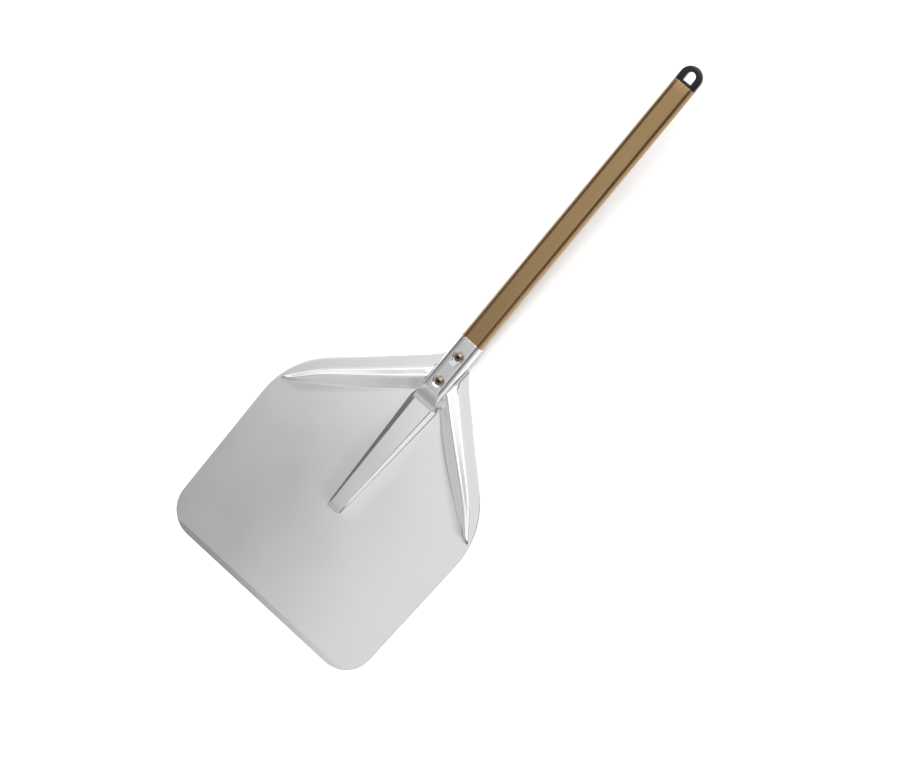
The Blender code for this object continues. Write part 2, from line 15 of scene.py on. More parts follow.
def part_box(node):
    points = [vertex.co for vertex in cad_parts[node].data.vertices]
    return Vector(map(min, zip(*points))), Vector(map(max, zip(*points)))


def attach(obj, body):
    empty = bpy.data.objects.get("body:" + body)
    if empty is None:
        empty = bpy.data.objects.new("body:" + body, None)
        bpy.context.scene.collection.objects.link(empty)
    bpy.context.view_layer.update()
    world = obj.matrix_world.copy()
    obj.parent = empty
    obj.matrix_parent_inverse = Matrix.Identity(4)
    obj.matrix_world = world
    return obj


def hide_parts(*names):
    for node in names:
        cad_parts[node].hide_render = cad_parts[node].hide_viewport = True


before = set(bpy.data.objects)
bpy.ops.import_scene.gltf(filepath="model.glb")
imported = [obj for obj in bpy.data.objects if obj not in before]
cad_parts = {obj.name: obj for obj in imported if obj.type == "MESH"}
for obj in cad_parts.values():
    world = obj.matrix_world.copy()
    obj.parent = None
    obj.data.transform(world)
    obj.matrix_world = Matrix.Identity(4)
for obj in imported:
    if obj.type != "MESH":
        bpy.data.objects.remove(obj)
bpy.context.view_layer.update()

MM = 0.001

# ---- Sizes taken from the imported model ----

BLADE_LOW, BLADE_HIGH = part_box("blade")
TUBE_LOW, TUBE_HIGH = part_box("handle_tube")
SCREW_FRONT, SCREW_REAR = [sum(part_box(name), Vector()) / 2 for name in ("screw_front", "screw_rear")]

BLADE_WIDTH = 2 * BLADE_HIGH.x
FRONT_Y = BLADE_LOW.y
TUBE_WIDTH = 2 * TUBE_HIGH.x
PITCH = atan2(SCREW_REAR.z - SCREW_FRONT.z, SCREW_REAR.y - SCREW_FRONT.y)

# ---- Shape of the blade ----

GAP = 0.3 * MM  # between pieces that touch
SHEET = 1.0 * MM  # thickness of the aluminium sheet
BLADE_LENGTH = 383.0 * MM  # front edge to root
SIDE_TAPER = radians(1.5)
FRONT_CORNER = 42.0 * MM
SHOULDER_RADIUS = 118.0 * MM
SHOULDER_ANGLE = radians(42.5)
REAR_APEX = 24.6 * MM
FLARE_START = -16.6 * MM
FLARE_RATE = 4.6
BEVEL_LENGTH = 7.0 * MM  # the front edge is thinned over this length
BEVEL_DROP = 0.7 * MM
BEVEL_CREASE = 0.35 * MM
RIM_ROUNDING = 0.12 * MM  # of the sheet's cut edges

ROOT_Y = FRONT_Y + BLADE_LENGTH

# ---- Shape of the handle ----

TUBE_HEIGHT = 17.2 * MM
TUBE_CORNER = 7.6 * MM
TUBE_WALL = 1.4 * MM
TUBE_RIM = 0.25 * MM
TUBE_START = (TUBE_LOW.y - ROOT_Y + TUBE_HEIGHT * sin(PITCH)) / cos(PITCH)
TUBE_END = (TUBE_HIGH.y - ROOT_Y) / cos(PITCH)
TUBE_FLOOR = TUBE_LOW.z - TUBE_START * sin(PITCH)

# ---- Socket, nose and ribs ----

SOCKET_END = 43.0 * MM
NOSE_TOP = -37.0 * MM
NOSE_FOOT = -53.5 * MM
NOSE_FOOT_ROUND = 4.5 * MM  # reach of the bend on either side of the foot
NOSE_CREST = 3.0 * MM  # softness of the edge where the slope meets the socket
NOSE_WALLS = 0.6  # share of the nose over which the walls grow up
WALL_FILLET = 2.6 * MM
WALL_LEAST = 0.6 * MM
LIP_BLEND = 6.0 * MM
FLANGE_END = 7.0 * MM
FLANGE_ROOT = 12.0 * MM

RIB_END = -232.0 * MM
RIB_HEIGHT = 5.7 * MM
RIB_POWER = 0.45
RIB_ROUNDING = 0.12
RIB_TOP = (12.8 * MM, 7.8 * MM)
RIB_FOOT = (21.2 * MM, 10.4 * MM)
RIB_SHIFT = 1.6 * MM  # the nose and the centre rib sit this far to the right of the tube

WING_HEIGHT = 8.2 * MM
WING_POWER = 0.35
WING_ROUNDING = 0.12
WING_TIP = -151.0 * MM
WING_INNER = ((151.0, -152.0), (110.0, -123.0), (67.0, -91.5), (18.0, -48.5))
WING_CREST = ((154.0, -151.0), (121.0, -115.5), (79.0, -79.5), (39.0, -46.0), (17.5, -27.0))
WING_OUTER = ((156.0, -147.0), (131.0, -117.0), (81.0, -70.5), (48.0, -40.0), (27.5, -20.0), (20.0, -3.0))

SOCKET_HALF = TUBE_WIDTH / 2 + GAP + SHEET
SOCKET_CORNER = TUBE_CORNER + GAP + SHEET
SOCKET_RISE = (TUBE_HEIGHT + GAP + SHEET) / cos(PITCH)

# Centres and ends of the outline's arcs
SHOULDER_X = BLADE_WIDTH / 2 - SHOULDER_RADIUS
SHOULDER_Y = REAR_APEX - (SHOULDER_RADIUS + SHOULDER_X * sin(SHOULDER_ANGLE)) / cos(SHOULDER_ANGLE)
SIDE_END_X = SHOULDER_X + SHOULDER_RADIUS * cos(SIDE_TAPER)
SIDE_END_Y = SHOULDER_Y - SHOULDER_RADIUS * sin(SIDE_TAPER)
ARC_END_Y = SHOULDER_Y + SHOULDER_RADIUS * cos(SHOULDER_ANGLE)
CORNER_Y = FRONT_CORNER - BLADE_LENGTH
CORNER_X = SIDE_END_X + ((CORNER_Y - SIDE_END_Y) * sin(SIDE_TAPER) - FRONT_CORNER) / cos(SIDE_TAPER)
CORNER_END_Y = CORNER_Y - FRONT_CORNER * sin(SIDE_TAPER)

# Columns of the blade's mesh, from the centre line out
FLAT_STEPS = 14
ROUND_STEPS = 12
FOOT_STEPS = 8
FIELD_STEPS = 6
SLOPE_STEPS = 9
FLANGE_STEPS = 6
COLUMN_SPACE = 0.15 * MM

# Rows of the blade's mesh: where each run of them starts, and the space between them
ROW_RUNS = (
    (CORNER_END_Y, 8.0 * MM),
    (RIB_END - 6.0 * MM, 2.0 * MM),
    (-62.0 * MM, 0.7 * MM),
    (-28.0 * MM, 0.5 * MM),
    (-8.0 * MM, 1.0 * MM),
)
ROWS_END = FLANGE_END - 1.0 * MM
NARROW_START = -40.0 * MM  # the mesh of the flanges' narrow ends is too fine to round from here to the root

# ---- Fasteners ----

SCREW_NODES = {"front": SCREW_FRONT, "rear": SCREW_REAR}
SHANK_RADIUS = 2.8 * MM
SHANK_END = 3.0 * MM
HEAD_RADIUS = 5.4 * MM
HEAD_RIM = 0.6 * MM
HEAD_HEIGHT = 2.9 * MM
HEX_ACROSS_FLATS = 4.0 * MM
HEX_DEPTH = 2.0 * MM
HEX_CHAMFER = 0.25 * MM
DIMPLE_RADIUS = 8.2 * MM
DIMPLE_FLOOR = 6.2 * MM
DIMPLE_DEPTH = 0.9 * MM
TUBE_DIMPLE_SPREAD = 0.5 * MM
SLEEVE_RADIUS = 4.2 * MM
SLEEVE_BORE = 3.1 * MM
SLEEVE_TOP = 12.5 * MM
SLEEVE_FLOOR = 1.6 * MM
NUT_RADIUS = 5.2 * MM
NUT_HEIGHT = 1.0 * MM

# ---- End cap ----

CAP_LENGTH = 25.0 * MM
CAP_WIDTH = 29.2 * MM
CAP_THICKNESS = 12.0 * MM
CAP_EDGE = 2.6 * MM
COLLAR_LENGTH = 1.4 * MM
COLLAR_EDGE = 0.4 * MM
HOLE_WIDTH = 11.8 * MM
HOLE_START = 1.8 * MM
HOLE_END = 17.8 * MM
HOLE_CORNER = 3.0 * MM
HOLE_EDGE = 1.3 * MM
SPIGOT_LENGTH = 24.0 * MM
SPIGOT_WALL = 2.0 * MM

# ---- Studio: a key, a bank of panels overhead, then softboxes round about ----

KEY_TURN = (92.0, 50.0)  # direction round from +X, and height above the floor, in degrees
KEY_ANGLE = 52.0  # width of its disc, in degrees
KEY_RADIANCE = 5.4
BANK_HEIGHT = 1.6
BANK_COLUMNS = (-1.1, -0.6, -0.2, 0.28)
BANK_ROWS = (-1.25, -0.65, -0.1, 0.5, 1.05)
BANK_RADIANCE = (  # a row of panels a line, the front row first
    (0.1, 0.06, 0.8),
    (0.3, 0.32, 0.84),
    (0.8, 0.78, 0.84),
    (0.7, 1.1, 0.8),
)
SOFTBOX_DISTANCE = 4.0
SOFTBOX_AIM = (0.0, 0.2, 0.0)
SOFTBOXES = (  # name, direction round from +X, height above the floor in degrees, size, radiance
    ("left_rear", 144.0, 27.0, (3.2, 3.2), 1.3),
    ("right_low", 350.0, 14.0, (4.8, 1.6), 1.0),
    ("right_rear", 46.0, 28.0, (3.4, 3.2), 1.1),
    ("front_right", 312.0, 30.0, (3.2, 3.2), 0.36),
    ("front", 270.0, 30.0, (3.0, 3.2), 0.4),
    ("front_left", 228.0, 28.0, (3.2, 3.0), 0.55),
)
WORLD_STRENGTH = 0.1
FLOOR_HALF = 15.0
FLOOR_GAP = 0.2 * MM  # under the blade

# ---- Camera: lens, place, and its turn about X, Y and Z ----

CAMERA_LENS = 96.0
CAMERA_PLACE = (0.4481, 0.5961, 2.9327)
CAMERA_TURN = (0.66, 10.68, 41.34)


# ---- Small helpers ----


def mix(a, b, t):
    return a + (b - a) * t


def clamp(t, low=0.0, high=1.0):
    return min(max(t, low), high)


def ease(t):
    """Smooth step from 0 to 1."""
    t = clamp(t)
    return t * t * (3.0 - 2.0 * t)


def rounded_ramp(t, rounding):
    """Straight ramp from 0 to 1 whose two ends are rounded."""
    if t <= -rounding:
        return 0.0
    if t < rounding:
        return (t + rounding) ** 2 / (4.0 * rounding)
    if t <= 1.0 - rounding:
        return t
    if t < 1.0 + rounding:
        return 1.0 - (1.0 + rounding - t) ** 2 / (4.0 * rounding)
    return 1.0


def flank(t, rounding):
    """Straight ramp from 0 to 1 with both ends rounded inside them."""
    return rounded_ramp(t * (1.0 + 2.0 * rounding) - rounding, rounding)


def bend(t, reach):
    """Zero before a bend and t after it, eased over a reach on either side."""
    if t <= -reach:
        return 0.0
    return (t + reach) ** 2 / (4.0 * reach) if t < reach else t


def soft_least(a, b, softness):
    """The lesser of two values, blended where they differ by less than the softness."""
    if softness <= 0.0:
        return min(a, b)
    overlap = max(softness - abs(a - b), 0.0)
    return min(a, b) - overlap * overlap / (4.0 * softness)


def curve_at(points, along):
    """Distance across, at a distance along, on the smooth curve through points given in millimetres."""
    y = along / MM
    slopes = []
    for i in range(len(points)):
        (x0, y0), (x1, y1) = points[max(i - 1, 0)], points[min(i + 1, len(points) - 1)]
        slopes.append((x1 - x0) / (y1 - y0))
    i = 0
    while i < len(points) - 2 and y > points[i + 1][1]:
        i += 1
    (x0, y0), (x1, y1) = points[i], points[i + 1]
    t, length = (y - y0) / (y1 - y0), y1 - y0
    if t < 0.0:
        return (x0 + slopes[i] * (y - y0)) * MM
    if t > 1.0:
        return (x1 + slopes[i + 1] * (y - y1)) * MM
    start = (1 + 2 * t) * (1 - t) ** 2 * x0 + t * (1 - t) ** 2 * length * slopes[i]
    end = t * t * (3 - 2 * t) * x1 + t * t * (t - 1) * length * slopes[i + 1]
    return (start + end) * MM


def steps(start, end, size):
    """Evenly spaced values from start up to but not including end, about size apart."""
    count = max(round((end - start) / size), 1)
    return [start + (end - start) * i / count for i in range(count)]


def add_object(name, data):
    obj = bpy.data.objects.new(name, data)
    bpy.context.scene.collection.objects.link(obj)
    return obj


def mesh_from(name, verts, faces):
    mesh = bpy.data.meshes.new(name)
    mesh.from_pydata(verts, [], faces)
    mesh.update()
    return mesh


def outward(mesh):
    """Turns every face of a closed mesh to point out."""
    bm = bmesh.new()
    bm.from_mesh(mesh)
    bmesh.ops.recalc_face_normals(bm, faces=bm.faces)
    bm.to_mesh(mesh)
    bm.free()


def loft(name, loops, closed=False):
    """Skin over loops that hold the same number of points: round and round if closed, else with flat ends."""
    count = len(loops[0])
    verts = [point for loop in loops for point in loop]
    faces = []
    for k in range(len(loops) if closed else len(loops) - 1):
        here, there = k * count, (k + 1) % len(loops) * count
        for i in range(count):
            faces.append((here + i, here + (i + 1) % count, there + (i + 1) % count, there + i))
    if not closed:
        faces += [tuple(reversed(range(count))), tuple(range(len(verts) - count, len(verts)))]
    mesh = mesh_from(name, verts, faces)
    outward(mesh)
    return mesh


def combine(obj, other, operation):
    """Adds a Boolean modifier that joins other to obj or cuts it away."""
    modifier = obj.modifiers.new(f"{operation.lower()} {other.name}", "BOOLEAN")
    modifier.operation = operation
    modifier.solver = "MANIFOLD"
    modifier.object = other


def apply_modifiers(obj, *helpers):
    """Makes the object's mesh what its modifiers give, then removes them and the helpers they used."""
    evaluated = obj.evaluated_get(bpy.context.evaluated_depsgraph_get())
    mesh = bpy.data.meshes.new_from_object(evaluated)
    mesh.name = obj.name
    obj.modifiers.clear()
    obj.data = mesh
    for helper in helpers:
        bpy.data.objects.remove(helper)


def round_edges(obj, width, wanted, degrees=55.0):
    """Rounds the edges that are sharper than an angle and whose middle is wanted."""
    bm = bmesh.new()
    bm.from_mesh(obj.data)
    edges = []
    for edge in bm.edges:
        middle = (edge.verts[0].co + edge.verts[1].co) / 2
        if edge.calc_face_angle(0.0) > radians(degrees) and wanted(middle):
            edges.append(edge)
    bmesh.ops.bevel(
        bm, geom=edges, offset=width, offset_type="OFFSET", segments=2, profile=0.5, affect="EDGES"
    )
    bm.to_mesh(obj.data)
    bm.free()


def smooth_shading(obj, degrees=32.0):
    obj.data.shade_smooth()
    obj.data.set_sharp_from_angle(angle=radians(degrees))


def on_handle(obj, along=0.0):
    """Places an object in the handle's frame, some way along it."""
    root = Matrix.Translation((0.0, ROOT_Y, TUBE_FLOOR))
    obj.matrix_world = root @ Matrix.Rotation(PITCH, 4, "X") @ Matrix.Translation((0.0, along, 0.0))
    return obj


def along_of(point):
    """How far along the handle a point lies."""
    return (point.y - ROOT_Y) * cos(PITCH) + (point.z - TUBE_FLOOR) * sin(PITCH)


SCREWS = {label: along_of(point) for label, point in SCREW_NODES.items()}


# ---- Blade: one pressed sheet ----


def half_width(y):
    """Half the blade's width at a distance along it."""
    if y < CORNER_END_Y:
        return CORNER_X + sqrt(max(FRONT_CORNER**2 - (CORNER_Y - y) ** 2, 0.0))
    if y < SIDE_END_Y:
        return SIDE_END_X - (SIDE_END_Y - y) * tan(SIDE_TAPER)
    if y < ARC_END_Y:
        return SHOULDER_X + sqrt(SHOULDER_RADIUS**2 - (y - SHOULDER_Y) ** 2)
    swing = FLARE_RATE * max(y - FLARE_START, 0.0) ** 2
    return (REAR_APEX - y) / tan(SHOULDER_ANGLE) + swing


def wing_lines(y):
    """Inner foot, crest and outer foot of a shoulder rib at a distance along the blade."""
    shrink = 1.0 if y >= WING_TIP else half_width(y) / half_width(WING_TIP)
    return [curve_at(line, max(y, WING_TIP)) * shrink for line in (WING_INNER, WING_CREST, WING_OUTER)]


def wing_rise(x, y):
    """Height of a shoulder rib above the flat blade."""
    inner, crest, outer = wing_lines(y)
    root = WING_CREST[-1][1] * MM
    left = clamp((y - WING_TIP) / (root - WING_TIP))
    if not inner < x < outer:
        return 0.0
    side = (x - inner) / (crest - inner) if x < crest else (outer - x) / (outer - crest)
    return WING_HEIGHT * left**WING_POWER * flank(side, WING_ROUNDING)


def dimple_drop(x, s, spread=0.0):
    """Depth of the dimples round the screws, at a place across and along the handle."""
    drop = 0.0
    for at in SCREWS.values():
        reach = (DIMPLE_RADIUS + spread - sqrt(x * x + (s - at) ** 2)) / (DIMPLE_RADIUS - DIMPLE_FLOOR)
        drop += DIMPLE_DEPTH * rounded_ramp(reach, 0.15)
    return drop


def socket_section(y):
    """Flat top, round corner, upright wall and fillet of the socket, as points across and up."""
    top = TUBE_FLOOR + y * tan(PITCH) + SOCKET_RISE
    start = SOCKET_HALF - SOCKET_CORNER
    points = [(start * step / FLAT_STEPS, top) for step in range(FLAT_STEPS + 1)]
    for step in range(1, ROUND_STEPS + 1):
        angle = pi / 2 * step / ROUND_STEPS
        points.append((start + SOCKET_CORNER * sin(angle), top - SOCKET_CORNER * (1.0 - cos(angle))))
    ground = SHEET + wing_rise(SOCKET_HALF + WALL_FILLET, y)
    fillet = min(WALL_FILLET, top - SOCKET_CORNER - ground - WALL_LEAST)
    for step in range(FOOT_STEPS + 1):
        angle = pi / 2 * step / FOOT_STEPS
        points.append((SOCKET_HALF + WALL_FILLET * (1.0 - cos(angle)), ground + fillet * (1.0 - sin(angle))))
    return points


def rib_section(y):
    """Flat top and eased flank of the centre rib, as points across and up."""
    along = clamp((NOSE_FOOT - y) / (NOSE_FOOT - RIB_END))
    height = RIB_HEIGHT * (1.0 - along) ** RIB_POWER
    top, foot = mix(*RIB_TOP, along), mix(*RIB_FOOT, along)
    points = [(top * step / FLAT_STEPS, SHEET + height) for step in range(FLAT_STEPS + 1)]
    count = ROUND_STEPS + FOOT_STEPS + 1
    for step in range(1, count + 1):
        share = step / count
        points.append((mix(top, foot, share), SHEET + height * (1.0 - flank(share, RIB_ROUNDING))))
    return points


def crown_section(y):
    """Socket, nose or centre rib, with the dimples: the nose's slope cuts across the whole socket."""
    climb = bend(y - NOSE_FOOT, NOSE_FOOT_ROUND)
    walls = ease((y - NOSE_FOOT + NOSE_FOOT_ROUND) / (NOSE_WALLS * (NOSE_TOP - NOSE_FOOT)))
    foot, crest = SHEET + RIB_HEIGHT, socket_section(NOSE_TOP)[0][1]
    slope = rib_section(y)[0][1] + climb * (crest - foot) / (NOSE_TOP - NOSE_FOOT)
    section = []
    for low, high in zip(rib_section(y), socket_section(y)):
        x = mix(low[0], high[0], walls)
        z = soft_least(mix(low[1], high[1], walls), slope, min(NOSE_CREST, climb))
        s = y * cos(PITCH) + (z - TUBE_FLOOR) * sin(PITCH)
        section.append((x, z - dimple_drop(x, s)))
    return section


def plain_section(y, first):
    """The blade beside the crown: over the shoulder rib, then out to the edge."""
    inner, crest, outer = wing_lines(y)
    edge = half_width(y)
    wanted = [mix(first, inner, step / FIELD_STEPS) for step in range(1, FIELD_STEPS + 1)]
    wanted += [mix(inner, crest, step / SLOPE_STEPS) for step in range(1, SLOPE_STEPS + 1)]
    wanted += [mix(crest, outer, step / SLOPE_STEPS) for step in range(1, SLOPE_STEPS + 1)]
    wanted += [mix(outer, edge, step / FLANGE_STEPS) for step in range(1, FLANGE_STEPS + 1)]
    room = (edge - first) / len(wanted)
    points = []
    for step, x in enumerate(wanted):
        x = max(x, first + (step + 1) * min(COLUMN_SPACE, room))
        points.append((x, SHEET + wing_rise(x, y)))
    return points


def blade_lengths():
    """Where the rows of the blade's mesh lie, from the front edge to the root."""
    crease = -BLADE_LENGTH + BEVEL_LENGTH
    lengths = [CORNER_Y - FRONT_CORNER * cos(radians(3.0 * i)) for i in range(30)]
    lengths = [y for y in lengths if abs(y - crease) > BEVEL_CREASE]
    lengths += [crease - BEVEL_CREASE, crease, crease + BEVEL_CREASE]
    ends = [start for start, space in ROW_RUNS[1:]] + [ROWS_END]
    for (start, space), end in zip(ROW_RUNS, ends):
        lengths += steps(start, end, space)
    return sorted(lengths)


def front_share(y):
    """Share of the sheet's thickness that the thinned front edge keeps."""
    reach = clamp((FRONT_Y + BEVEL_LENGTH - ROOT_Y - y) / BEVEL_LENGTH)
    return 1.0 - reach * BEVEL_DROP / SHEET


def blade_rows():
    """Rows of points from the front edge to the root, each from the centre line to the edge."""
    rows = []
    for y in blade_lengths():
        crown = crown_section(y)
        lower = SHEET * (1.0 - front_share(y))
        rows.append([(x, y, z - lower) for x, z in crown + plain_section(y, crown[-1][0])])
    crown = crown_section(FLANGE_ROOT)
    last = [(x, FLANGE_ROOT, z) for x, z in crown]
    for x, z in plain_section(FLANGE_END, crown[-1][0]):
        out = (x - crown[-1][0]) / (half_width(FLANGE_END) - crown[-1][0])
        last.append((x, mix(FLANGE_ROOT, FLANGE_END, out), z))
    before = rows[-1]
    for share in (0.2, 0.4, 0.6, 0.8):
        rows.append([tuple(mix(a, b, share) for a, b in zip(p, q)) for p, q in zip(before, last)])
    return rows + [last]


def lip_rows(columns):
    """Rows of the socket behind the root, down to its free lower edge and square to the tube at its end."""
    rows = []
    lengths = steps(FLANGE_ROOT, 31 * MM, 0.5 * MM)[1:] + steps(31 * MM, SOCKET_END, 1 * MM) + [SOCKET_END]
    for y in lengths:
        section = socket_section(y)[:columns]
        free = ease((y - FLANGE_ROOT) / LIP_BLEND)
        lower = mix(section[-1][1], TUBE_FLOOR + y * tan(PITCH), free)
        section[-1] = (section[-1][0], lower)
        lean = tan(PITCH) * (y - FLANGE_ROOT) / (SOCKET_END - FLANGE_ROOT)
        row = []
        for x, z in section:
            place = y + (section[0][1] - z) * lean
            s = place * cos(PITCH) + (z - TUBE_FLOOR) * sin(PITCH)
            row.append((x, place, z - dimple_drop(x, s)))
        rows.append(row)
    return rows


def upright_cone(name, low, high, radius, top_radius, sides=48):
    """Closed cylinder or cone, or a prism with few sides, between two heights on the Z axis."""
    bm = bmesh.new()
    place = Matrix.Translation((0.0, 0.0, (low + high) / 2))
    bmesh.ops.create_cone(
        bm, cap_ends=True, segments=sides, radius1=radius, radius2=top_radius, depth=high - low, matrix=place
    )
    mesh = bpy.data.meshes.new(name)
    bm.to_mesh(mesh)
    bm.free()
    return add_object(name, mesh)


def drill(obj, label, at, low, high, radius):
    """Cuts a round hole square to the handle, and returns its cutter."""
    cutter = on_handle(upright_cone(f"drill_{label}", low, high, radius, radius), at)
    combine(obj, cutter, "DIFFERENCE")
    return cutter


def clear_of_root(point):
    """True away from the narrow ends of the flanges."""
    return abs(point.x) < SOCKET_HALF + SHEET / 2 or not NARROW_START < point.y < FLANGE_ROOT


def make_blade():
    """The whole sheet: half a skin, mirrored, thickened, drilled, with its nose and rib shifted aside."""
    rows = blade_rows()
    verts = [point for row in rows for point in row]
    width = len(rows[0])
    faces = []
    for i in range(len(rows) - 1):
        for j in range(width - 1):
            near, far = i * width + j, (i + 1) * width + j
            faces.append((near, near + 1, far + 1, far))
    columns = FLAT_STEPS + ROUND_STEPS + 2  # the socket's section without its fillet
    before = list(range((len(rows) - 1) * width, (len(rows) - 1) * width + columns))
    for row in lip_rows(columns):
        here = list(range(len(verts), len(verts) + columns))
        verts += row
        for j in range(columns - 1):
            faces.append((before[j], before[j + 1], here[j + 1], here[j]))
        before = here
    blade = add_object("peel_blade", mesh_from("peel_blade", verts, faces))
    blade.location.y = ROOT_Y
    thickness = blade.vertex_groups.new(name="thickness")
    for i, vert in enumerate(verts):
        thickness.add([i], front_share(vert[1]), "REPLACE")
    mirror = blade.modifiers.new("other half", "MIRROR")
    mirror.use_clip = True
    mirror.merge_threshold = 0.00001
    sheet = blade.modifiers.new("sheet", "SOLIDIFY")
    sheet.thickness = SHEET
    sheet.offset = -1.0
    sheet.use_even_offset = True
    sheet.vertex_group = thickness.name
    face = TUBE_HEIGHT + GAP + SHEET
    cutters = [
        drill(blade, label, at, face - 4 * SHEET, face + SHEET, SHANK_RADIUS + GAP)
        for label, at in SCREWS.items()
    ]
    apply_modifiers(blade, *cutters)
    for vert in blade.data.vertices:
        ahead = 1.0 - ease((vert.co.y - NOSE_FOOT) / (NOSE_TOP - NOSE_FOOT))
        near = 1.0 - ease((abs(vert.co.x) - RIB_FOOT[0]) / RIB_FOOT[0])
        vert.co.x += RIB_SHIFT * ahead * near
    round_edges(blade, RIM_ROUNDING, clear_of_root)
    smooth_shading(blade)
    return blade


# ---- Handle tube ----


def oval(width, height, corner, arc_steps=12):
    """Points of a rounded oblong, anticlockwise seen from -Y, with its underside at zero height."""
    points = []
    for turn, (side, up) in enumerate(((1, 0), (1, 1), (-1, 1), (-1, 0))):
        centre = (side * (width / 2 - corner), corner if not up else height - corner)
        for step in range(arc_steps + 1):
            angle = (turn - 1 + step / arc_steps) * pi / 2
            points.append((centre[0] + corner * cos(angle), centre[1] + corner * sin(angle)))
        following = ((1, 1), (-1, 1), (-1, 0), (1, 0))[turn]
        target = (following[0] * (width / 2 - corner), corner if not following[1] else height - corner)
        angle = turn * pi / 2
        end = (target[0] + corner * cos(angle), target[1] + corner * sin(angle))
        begin = points[-1]
        for step in range(1, FLAT_STEPS):
            share = step / FLAT_STEPS
            points.append((mix(begin[0], end[0], share), mix(begin[1], end[1], share)))
    return points


def oval_loop(width, height, corner, inset, s):
    """A rounded oblong at a distance along the handle, drawn in by an inset."""
    outline = oval(width - 2 * inset, height - 2 * inset, max(corner - inset, 0.2 * MM))
    return [(x, s, z + inset) for x, z in outline]


def make_tube():
    """Oval tube with rounded rims, its two screw dimples and the holes for the screws and nuts."""
    lengths = steps(TUBE_START + TUBE_RIM, SOCKET_END, 0.8 * MM)
    lengths += steps(SOCKET_END, TUBE_END - TUBE_RIM, 12.0 * MM)
    lengths.append(TUBE_END - TUBE_RIM)
    rim = [(TUBE_RIM * (1 - cos(a)), TUBE_RIM * (1 - sin(a))) for a in (pi / 6, pi / 3, pi / 2)]
    shape = (TUBE_WIDTH, TUBE_HEIGHT, TUBE_CORNER)
    loops = [oval_loop(*shape, 0.0, s) for s in lengths]
    loops += [oval_loop(*shape, inset, TUBE_END - back) for inset, back in rim]
    loops += [oval_loop(*shape, TUBE_WALL - inset, TUBE_END - back) for inset, back in reversed(rim)]
    loops += [oval_loop(*shape, TUBE_WALL, s) for s in reversed(lengths)]
    loops += [oval_loop(*shape, TUBE_WALL - inset, TUBE_START + back) for inset, back in rim]
    loops += [oval_loop(*shape, inset, TUBE_START + back) for inset, back in reversed(rim)]
    tube = on_handle(add_object("peel_handle", loft("peel_handle", loops, closed=True)))
    for vert in tube.data.vertices:
        if vert.co.z > TUBE_HEIGHT / 2:
            vert.co.z -= dimple_drop(vert.co.x, vert.co.y, TUBE_DIMPLE_SPREAD)
    cutters = []
    for label, at in SCREWS.items():
        top, floor = TUBE_HEIGHT - 4 * TUBE_WALL, 2 * TUBE_WALL
        cutters.append(drill(tube, f"top_{label}", at, top, TUBE_HEIGHT + TUBE_WALL, SHANK_RADIUS + GAP))
        cutters.append(drill(tube, f"floor_{label}", at, -TUBE_WALL, floor, SLEEVE_RADIUS + GAP))
    apply_modifiers(tube, *cutters)
    smooth_shading(tube)
    return tube


# ---- Screws and sleeve nuts ----


def turned(name, profile, sides=72):
    """Turns a profile, given as radius and height, about the Z axis."""
    edges = [(i, i + 1) for i in range(len(profile) - 1)]
    mesh = bpy.data.meshes.new(name)
    mesh.from_pydata([(radius, 0.0, height) for radius, height in profile], edges, [])
    obj = add_object(name, mesh)
    screw = obj.modifiers.new("turn", "SCREW")
    screw.axis = "Z"
    screw.steps = screw.render_steps = sides
    screw.use_merge_vertices = True
    screw.merge_threshold = 0.00001
    return obj


def make_screw(label, at):
    """Button-head screw with a chamfered hexagon socket."""
    seat = TUBE_HEIGHT + GAP + SHEET - DIMPLE_DEPTH + GAP
    edge = 0.15 * MM
    dome = []
    for step in range(17):
        angle = radians(90.0 * step / 16)
        dome.append((HEAD_RADIUS * sin(angle), seat + HEAD_RIM + (HEAD_HEIGHT - HEAD_RIM) * cos(angle)))
    profile = dome + [
        (HEAD_RADIUS, seat + edge),
        (HEAD_RADIUS - edge, seat),
        (SHANK_RADIUS, seat),
        (SHANK_RADIUS, SHANK_END + 2 * edge),
        (SHANK_RADIUS - 2 * edge, SHANK_END),
        (0.0, SHANK_END),
    ]
    screw = on_handle(turned(f"peel_screw_{label}", profile), at)
    top = seat + HEAD_HEIGHT
    key_radius = HEX_ACROSS_FLATS / 2 / cos(pi / 6)
    key = upright_cone("key", top - HEX_DEPTH, top + HEX_DEPTH, key_radius, key_radius, sides=6)
    combine(screw, on_handle(key, at), "DIFFERENCE")
    low, high = -2 * HEX_CHAMFER, 4 * HEX_CHAMFER
    mouth = key_radius + HEX_CHAMFER
    countersink = upright_cone("countersink", top + low, top + high, mouth + low, mouth + high, sides=72)
    combine(screw, on_handle(countersink, at), "DIFFERENCE")
    apply_modifiers(screw, key, countersink)
    smooth_shading(screw)
    return screw


def make_nut(label, at):
    """Sleeve nut: a thin head under the tube and a bored sleeve up inside it."""
    low = -GAP - NUT_HEIGHT
    edge = 0.2 * MM
    profile = [
        (0.0, SLEEVE_FLOOR),
        (SLEEVE_BORE, SLEEVE_FLOOR),
        (SLEEVE_BORE, SLEEVE_TOP - edge),
        (SLEEVE_BORE + edge, SLEEVE_TOP),
        (SLEEVE_RADIUS - edge, SLEEVE_TOP),
        (SLEEVE_RADIUS, SLEEVE_TOP - edge),
        (SLEEVE_RADIUS, -GAP),
        (NUT_RADIUS - edge, -GAP),
        (NUT_RADIUS, -GAP - edge),
    ]
    for step in range(9):
        angle = radians(90.0 * step / 8)
        radius = NUT_RADIUS - NUT_HEIGHT / 2 * (1 - cos(angle))
        profile.append((radius, low + NUT_HEIGHT / 3 - NUT_HEIGHT / 3 * sin(angle)))
    profile.append((0.0, low))
    nut = on_handle(turned(f"peel_sleeve_nut_{label}", profile), at)
    apply_modifiers(nut)
    smooth_shading(nut)
    return nut


# ---- End cap ----


